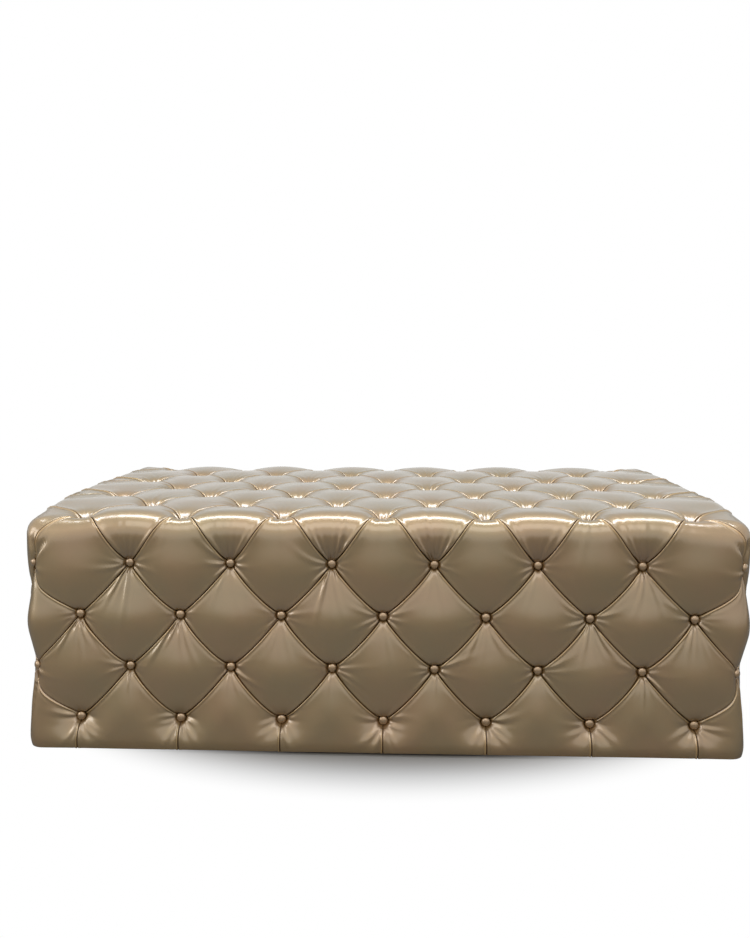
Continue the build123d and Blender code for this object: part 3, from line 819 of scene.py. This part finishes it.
# open-cell foam is cream and quite dull; its cells are near 0.8 mm and drawn 1.4 mm wide
foam_material = patterned("open_cell_foam", 0.95, "ShaderNodeTexVoronoi", {"Scale": 700.0},
                          [(0.0, "B9AE93"), (0.6, "E6DEC8")], (0.4, 0.8 * mm))
print("made", foam_material.name)

# %% [markdown]
# Under the leather lies foam, glued to the plywood. It has the same pillows, 8 mm further in,
# and a flat back on the plywood, so it is a closed body and never shows through the seams. It
# could be one plain block, but then the leather would seem to float over it in a cutaway.

# %% Foam bodies
foam_inset = 8 * mm
foam_steps = 14
panel_box = np.array((640 * mm, 294 * mm, 385 * mm))


def drop_inner_walls(piece):
    """Remove the two walls that neighbouring cells both put on a shared border."""
    seen = {}
    for face in piece.data.polygons:
        seen.setdefault(frozenset(face.vertices), []).append(face.index)
    double = {index for indices in seen.values() if len(indices) > 1 for index in indices}
    kept = [list(face.vertices) for face in piece.data.polygons if face.index not in double]
    points = [vertex.co.copy() for vertex in piece.data.vertices]
    piece.data.clear_geometry()
    piece.data.from_pydata(points, [], kept)
    piece.data.polygons.foreach_set("use_smooth", np.ones(len(kept), bool))


def foam_piece(name, found):
    """The foam of one side: each cell has an outer skin, a flat back and walls round its rim."""
    points, faces, start = [], [], 0
    for cell in found:
        maker = hem_pillow if cell[0] == "hem" else pillow
        grid, _, _ = maker(cell, foam_steps, foam_inset, True)
        if cell[0] == "hem":
            grid = grid[:, :-len(lip_reaches)]
            grid[..., 2] = np.maximum(grid[..., 2], hem_z + 2 * mm)
        rows, columns = grid.shape[:2]
        back = np.clip(grid, -panel_box, panel_box)
        outer = grid_faces(rows, columns, start)
        inner = grid_faces(rows, columns, start + rows * columns)[:, ::-1]
        rim = np.concatenate([np.arange(columns), np.arange(1, rows) * columns + columns - 1,
                              (rows - 1) * columns + np.arange(columns - 2, -1, -1),
                              np.arange(rows - 2, 0, -1) * columns]) + start
        following = np.roll(rim, -1)
        walls = np.stack([following, rim, rim + rows * columns, following + rows * columns], -1)
        faces += [outer, inner, walls]
        points += [grid.reshape(-1, 3), back.reshape(-1, 3)]
        start += 2 * rows * columns
    piece = mesh_object(name, np.concatenate(points), np.concatenate(faces))
    drop_inner_walls(piece)
    piece.data.materials.append(foam_material)
    return piece


foams = {name: foam_piece("foam_body_" + name, found) for name, found in cells.items()}
print("foam faces:", {name: len(piece.data.polygons) for name, piece in foams.items()})

# %% [markdown]
# A covered button is a small dome: leather pulled over a steel shell and crimped under the rim.
# It could be a squashed sphere, but its rim turns in more sharply than a sphere's. So a profile,
# given in millimetres as radius and height, is turned on a lathe.

# %% One covered button
button_profile = [(1.6, 1.6), (5.0, 2.6), (7.6, 3.6), (8.5, 4.6), (8.8, 5.6), (8.5, 7.0),
                  (7.7, 8.4), (6.3, 9.7), (4.4, 10.6), (2.3, 11.1)]
sides = 20
lathe_points, lathe_faces = [(0, 0, 1.2 * mm)], []
for r, z in button_profile:
    for k in range(sides):
        angle = 2 * np.pi * k / sides
        lathe_points.append((r * mm * np.cos(angle), r * mm * np.sin(angle), z * mm))
lathe_points.append((0, 0, 11.3 * mm))
for ring in range(len(button_profile) - 1):
    for k in range(sides):
        a, b = 1 + ring * sides + k, 1 + ring * sides + (k + 1) % sides
        lathe_faces.append((a, b, b + sides, a + sides))
last = 1 + (len(button_profile) - 1) * sides
for k in range(sides):
    lathe_faces.append((0, 1 + (k + 1) % sides, 1 + k))
    lathe_faces.append((last + k, last + (k + 1) % sides, len(lathe_points) - 1))
dome_mesh = bpy.data.meshes.new("button_dome")
dome_mesh.from_pydata(lathe_points, [], lathe_faces)
dome_mesh.polygons.foreach_set("use_smooth", np.ones(len(dome_mesh.polygons), bool))
dome = bpy.data.objects.new("button_dome", dome_mesh)
print("one button has", len(lathe_faces), "faces")

# %% [markdown]
# There are well over a hundred buttons of the same shape, each facing its own way. Copying them
# one by one would work, but Geometry Nodes do it in one step: the tree puts a dome on every
# point, turns it to the point's direction, and varies its size by a hair with a fixed seed.

# %% A tree that sets buttons on seats
button_tree = bpy.data.node_groups.new("buttons_on_seats", "GeometryNodeTree")


def tree_socket(name, kind, direction="INPUT"):
    return button_tree.interface.new_socket(name, in_out=direction, socket_type=kind)


tree_socket("Geometry", "NodeSocketGeometry")
tree_socket("Geometry", "NodeSocketGeometry", "OUTPUT")
dome_input = tree_socket("Button", "NodeSocketObject")
size_input = tree_socket("Size", "NodeSocketFloat")
spread_input = tree_socket("Size spread", "NodeSocketFloat")
leather_input = tree_socket("Leather", "NodeSocketMaterial")
given = add(button_tree, "NodeGroupInput")
facing = add(button_tree, "GeometryNodeInputNamedAttribute", settings={"data_type": "FLOAT_VECTOR"},
             Name="facing")
align = add(button_tree, "FunctionNodeAlignRotationToVector", {"Vector": facing.outputs[0]}, {"axis": "Z"})
info = add(button_tree, "GeometryNodeObjectInfo", {"Object": given.outputs["Button"]})
least = add(button_tree, "ShaderNodeMath", {0: given.outputs["Size"], 1: given.outputs["Size spread"]},
            {"operation": "SUBTRACT"})
# the random node has inputs of several types; these two are its plain numbers
least_float, most_float = 2, 3
vary = add(button_tree, "FunctionNodeRandomValue",
           {least_float: least.outputs[0], most_float: given.outputs["Size"]},
           {"data_type": "FLOAT"}, Seed=5)
spread = add(button_tree, "GeometryNodeInstanceOnPoints", {
    "Points": given.outputs["Geometry"], "Instance": info.outputs["Geometry"],
    "Rotation": align.outputs[0], "Scale": vary.outputs[1]})
real = add(button_tree, "GeometryNodeRealizeInstances", {"Geometry": spread.outputs["Instances"]})
dress = add(button_tree, "GeometryNodeSetMaterial", {"Geometry": real.outputs["Geometry"],
                                                     "Material": given.outputs["Leather"]})
add(button_tree, "NodeGroupOutput", {"Geometry": dress.outputs["Geometry"]})
print("the button tree has", len(button_tree.nodes), "nodes")

# %% [markdown]
# Each side's buttons become one piece. The corner buttons stand out a little further than their
# seats, the upper ones by 5 mm and the lower ones by 1.5 mm, because the leather is fuller there.

# %% Buttons in place
corner_reach = {0: 5 * mm, 2: 1.5 * mm}


def buttons(name, seats):
    """Real button meshes on a list of seats, made by the tree and then kept as plain mesh."""
    mesh = bpy.data.meshes.new(name)
    mesh.from_pydata([tuple(seat) for seat, _, _ in seats], [], [])
    ways = mesh.attributes.new("facing", "FLOAT_VECTOR", "POINT")
    ways.data.foreach_set("vector", np.array([way for _, way, _ in seats]).reshape(-1))
    piece = bpy.data.objects.new(name, mesh)
    bpy.context.scene.collection.objects.link(piece)
    modifier = piece.modifiers.new("buttons", "NODES")
    modifier.node_group = button_tree
    modifier[dome_input.identifier] = dome
    modifier[size_input.identifier] = 1.0
    modifier[spread_input.identifier] = 0.02
    modifier[leather_input.identifier] = button_leather
    bpy.context.view_layer.update()
    depsgraph = bpy.context.evaluated_depsgraph_get()
    real_mesh = bpy.data.meshes.new_from_object(piece.evaluated_get(depsgraph))
    piece.modifiers.clear()
    piece.data = real_mesh
    return piece


button_seats = {side: [] for side in side_angles}
for side in side_angles:
    for row in range(4):
        for bay in range(2 - row % 2, bays_of(side)[0], 2):
            button_seats[side].append(wall_seat(side, row, bay))
button_seats["top"] = [top_seat(row, bay) for row in range(7) for bay in range(1 + row % 2, 14, 2)]
button_seats["corner"] = []
for bay in (0, length_bays):
    for side in ("front", "back"):
        for row, reach in corner_reach.items():
            seat, way, down = wall_seat(side, row, bay)
            button_seats["corner"].append((seat + reach * way, way, down))
button_pieces = {name: buttons("button_domes_" + name, seats) for name, seats in button_seats.items()}
print("buttons:", {name: len(seats) for name, seats in button_seats.items()})

# %% [markdown]
# The corner buttons are pulled in further than in the model, so their twines are made here to
# match. A thin tube along a path is easiest as a curve with a round bevel, which is then kept
# as a mesh. Each twine leaves its toggle behind the panels, comes out where two panels meet at
# the corner, and bends there to its button.

# %% Twines of the corner buttons
twine_radius = 0.8 * mm
toggle_corner = (599.6 * mm, 253.6 * mm)
panel_corner = (640 * mm, 294 * mm)


def strings(name, ways, radius):
    """Thin round strings along given points, made as bevelled curves and kept as plain mesh."""
    curve = bpy.data.curves.new(name, "CURVE")
    curve.dimensions, curve.bevel_depth, curve.bevel_resolution = "3D", radius, 2
    curve.use_fill_caps = True
    for way in ways:
        spline = curve.splines.new("POLY")
        spline.points.add(len(way) - 1)
        for point, place in zip(spline.points, way):
            point.co = (*place, 1)
    mesh = bpy.data.meshes.new_from_object(bpy.data.objects.new(name + "_curve", curve))
    piece = bpy.data.objects.new(name, mesh)
    bpy.context.scene.collection.objects.link(piece)
    return piece


corner_ways = []
for seat, way, _ in button_seats["corner"]:
    signs = np.append(np.sign(way[:2]), 1)
    toggle, edge = (np.array((x, y, seat[2])) * signs for x, y in (toggle_corner, panel_corner))
    corner_ways.append([toggle, edge, seat + way * 0.8 * mm])
corner_twines = strings("twine_lines_corner", corner_ways, twine_radius)
print("corner twines:", len(corner_ways))

# %% [markdown]
# The pieces now take the place of the soft solids of the model. All are fixed to the one body,
# because nothing on this ottoman moves.

# %% Riding and replacing
for name in cells:
    for piece, node, slot in ((covers[name], "cover_", "cover_leather"), (foams[name], "foam_", "foam")):
        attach(piece, "root")
        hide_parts(node + name)
for name, piece in button_pieces.items():
    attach(piece, "root")
    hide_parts("buttons_" + name)
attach(corner_twines, "root")
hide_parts("twines_corner")
print("pieces in place:", 2 * len(cells) + len(button_pieces) + 1)

# %% [markdown]
# Birch plywood is pale, with bands of grain about 9 mm wide. The frame is planed wood, a little
# warmer, with bands about 6 mm wide that run the length of each board. Both are noise, drawn out
# along the grain: the stretch is 1 that way and 12 or 14 across it.

# %% Wood finishes
def sawn_wood(name, light, dark, stretch, scale, roughness):
    """Wood with its grain along the axis whose stretch is 1."""
    return patterned(name, roughness, "ShaderNodeTexNoise",
                     {"Scale": scale, "Detail": 6.0, "Distortion": 0.6},
                     [(0.3, dark), (0.62, light)], (0.25, 0.5 * mm), stretch)


woods = {
    "plywood": sawn_wood("birch_plywood", "D9BE90", "BE9D6C", (1, 12, 12), 9.0, 0.6),
    "hardwood_x": sawn_wood("planed_wood_lengthways", "C9A271", "A67C4C", (1, 14, 14), 12.0, 0.62),
    "hardwood_y": sawn_wood("planed_wood_crossways", "C9A271", "A67C4C", (14, 1, 14), 12.0, 0.62),
    "hardwood_z": sawn_wood("planed_wood_upright", "C9A271", "A67C4C", (14, 14, 1), 12.0, 0.62),
}
print("woods:", [wood.name for wood in woods.values()])

# %% [markdown]
# Zinc-plated screws and staples are a bright metal with slightly cloudy tone. Twine is twisted
# and waxed, so it shows bands where its plies turn, 2.4 mm apart. The dust cover is a black
# non-woven cloth, matt and a little felted. Toggles and glides are moulded, with a faint
# spark-eroded grain of about 0.1 mm, drawn 1.1 mm wide because it would not show.

# %% Steel, twine, cloth and nylon
zinc = patterned("zinc_plated_steel", 0.34, "ShaderNodeTexNoise", {"Scale": 300.0, "Detail": 3.0},
                 [(0.35, "9C9C98"), (0.65, "BDBDB8")], metallic=1.0)
twine = patterned("waxed_nylon_twine", 0.5, "ShaderNodeTexWave", {"Scale": 260.0, "Distortion": 1.0},
                  [(0.2, "BFB79E"), (0.8, "E0D9C4")], (0.5, 0.4 * mm),
                  settings={"bands_direction": "DIAGONAL"})
corner_twines.data.materials.append(twine)
cloth = patterned("black_dust_cloth", 0.92, "ShaderNodeTexNoise", {"Scale": 500.0, "Detail": 5.0},
                  [(0.3, "171615"), (0.7, "2A2826")], (0.6, 0.5 * mm))


def moulded(name, light, dark, roughness):
    """Moulded plastic with a faint spark-eroded grain."""
    return patterned(name, roughness, "ShaderNodeTexNoise", {"Scale": 900.0, "Detail": 2.0},
                     [(0.3, dark), (0.7, light)], (0.2, 0.2 * mm))


toggle_plastic = moulded("moulded_acetal_toggles", "DCD8D0", "CFCBC2", 0.45)
glide_nylon = moulded("moulded_nylon_glides", "302E2D", "242322", 0.5)
print("made", zinc.name, twine.name, cloth.name, toggle_plastic.name, glide_nylon.name)

# %% [markdown]
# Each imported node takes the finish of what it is. The names start with the kind of part, so a
# short list of beginnings is enough, and whatever is left over is a board of the frame.

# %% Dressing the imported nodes
starts = {"panel_": woods["plywood"], "deck_": zinc, "frame_": zinc, "hem_": zinc, "glide_": zinc,
          "glides": glide_nylon, "dust_": cloth, "twines_": twine, "toggles_": toggle_plastic,
          "post_": woods["hardwood_z"], "studs_": woods["hardwood_z"], "foam_": foam_material,
          "cover_": cover_leather, "buttons_": button_leather}
crossways = ("base_bearers", "top_bearers", "base_rail_left", "base_rail_right", "top_rail_left",
             "top_rail_right")


def finish_for(name):
    """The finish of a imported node, from its name."""
    if name == "deck":
        return woods["plywood"]
    for start, material in starts.items():
        if name.startswith(start):
            return material
    return woods["hardwood_y" if name in crossways else "hardwood_x"]


for name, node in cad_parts.items():
    node.data.materials.clear()
    node.data.materials.append(finish_for(name))
print("dressed", len(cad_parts), "nodes")

# %% [markdown]
# The studio is a pale floor and a white background. A curved backdrop would also hide the
# horizon, but it would be mirrored in the leather. So the floor stays flat, and it turns to
# plain white away from the ottoman: soon for the camera, and further off for reflections. Near
# the ottoman its shadow stays.

# %% Floor
floor_size = 60
bpy.ops.mesh.primitive_grid_add(x_subdivisions=2, y_subdivisions=2, size=floor_size)
floor = bpy.context.object
floor.name = "studio_floor"
floor_material, floor_tree, floor_shader = finish(
    "pale_studio_floor", Roughness=0.9, Base_Color=colour("A6A39E"), Specular_IOR_Level=0.1)
floor_place = add(floor_tree, "ShaderNodeTexCoord").outputs["Object"]
floor_map = add(floor_tree, "ShaderNodeMapping", {"Vector": floor_place}, Scale=(0.62, 1.0, 1.0))
floor_far = add(floor_tree, "ShaderNodeVectorMath", {0: floor_map.outputs[0]}, {"operation": "LENGTH"})


def white_beyond(start, end):
    """0 up to one distance from the middle of the floor and 1 from another on, in metres."""
    return add(floor_tree, "ShaderNodeMapRange", {"Value": floor_far.outputs["Value"]},
               {"interpolation_type": "SMOOTHSTEP"}, From_Min=start, From_Max=end).outputs["Result"]


def combined(tree, operation, first, second):
    """Two values put together by one operation, such as the larger of both."""
    return add(tree, "ShaderNodeMath", {0: first, 1: second}, {"operation": operation}).outputs[0]


path = add(floor_tree, "ShaderNodeLightPath").outputs
mirrored = combined(floor_tree, "MAXIMUM", path["Is Glossy Ray"], path["Is Transmission Ray"])
camera_white = combined(floor_tree, "MULTIPLY", path["Is Camera Ray"], white_beyond(0.34, 0.5))
mirror_white = combined(floor_tree, "MULTIPLY", mirrored, white_beyond(1.2, 4.5))
seen_white = combined(floor_tree, "MAXIMUM", camera_white, mirror_white)
white = add(floor_tree, "ShaderNodeEmission", Color=(1, 1, 1, 1), Strength=1.0)
both = add(floor_tree, "ShaderNodeMixShader", {0: seen_white, 1: floor_shader.outputs[0],
                                               2: white.outputs[0]})
floor_tree.links.new(both.outputs[0], floor_tree.nodes["Material Output"].inputs["Surface"])
floor.data.materials.append(floor_material)
print("floor", floor_size, "m wide")

# %% [markdown]
# The background is plain white to look at and in reflections, but it lights the scene with only
# three tenths of that, so the lamps can give the leather its shape.

# %% Background
world = bpy.data.worlds.new("studio_world")
bpy.context.scene.world = world
world.use_nodes = True
sky = world.node_tree
sky_path = add(sky, "ShaderNodeLightPath").outputs
sky_direct = combined(sky, "MAXIMUM", sky_path["Is Camera Ray"], sky_path["Is Glossy Ray"])
sky_seen = combined(sky, "MAXIMUM", sky_direct, sky_path["Is Transmission Ray"])
brightness = add(sky, "ShaderNodeMapRange", {"Value": sky_seen}, To_Min=0.3, To_Max=1.0)
sky.nodes["Background"].inputs["Color"].default_value = (1, 1, 1, 1)
sky.links.new(brightness.outputs["Result"], sky.nodes["Background"].inputs["Strength"])
print("background", world.name)

# %% [markdown]
# Three soft lights. The overhead one is long and narrow and slightly cool: it draws the bright
# line along the front edge and the glints of the top. A wide weak one stands high in front, and
# a small weak one at the left lifts that end a little.

# %% Lights
def soft_light(name, place, aim, width, depth, power, tint=(1, 1, 1)):
    """A rectangular light with its place, what it points at, its size and its power in watts."""
    data = bpy.data.lights.new(name, "AREA")
    data.color = tint
    data.shape = "RECTANGLE"
    data.size, data.size_y, data.energy = width, depth, power
    light = bpy.data.objects.new(name, data)
    light.location = place
    light.rotation_euler = (Vector(aim) - Vector(place)).to_track_quat("-Z", "Y").to_euler()
    bpy.context.scene.collection.objects.link(light)
    print(name, "of", power, "W")


soft_light("overhead_softbox", (0.0, -0.25, 2.4), (0.0, -0.25, 0.4), 3.2, 0.48, 36, (0.84, 0.96, 1.14))
soft_light("front_softbox", (0.0, -2.3, 2.2), (0, -0.2, 0.25), 3.2, 1.4, 15)
soft_light("left_softbox", (-2.6, -1.6, 1.0), (0, 0, 0.2), 0.8, 1.4, 10)

# %% [markdown]
# The scene's view settings stay plain, so a written colour comes out about as it is written.

# %% View settings
bpy.context.scene.view_settings.view_transform = "Standard"
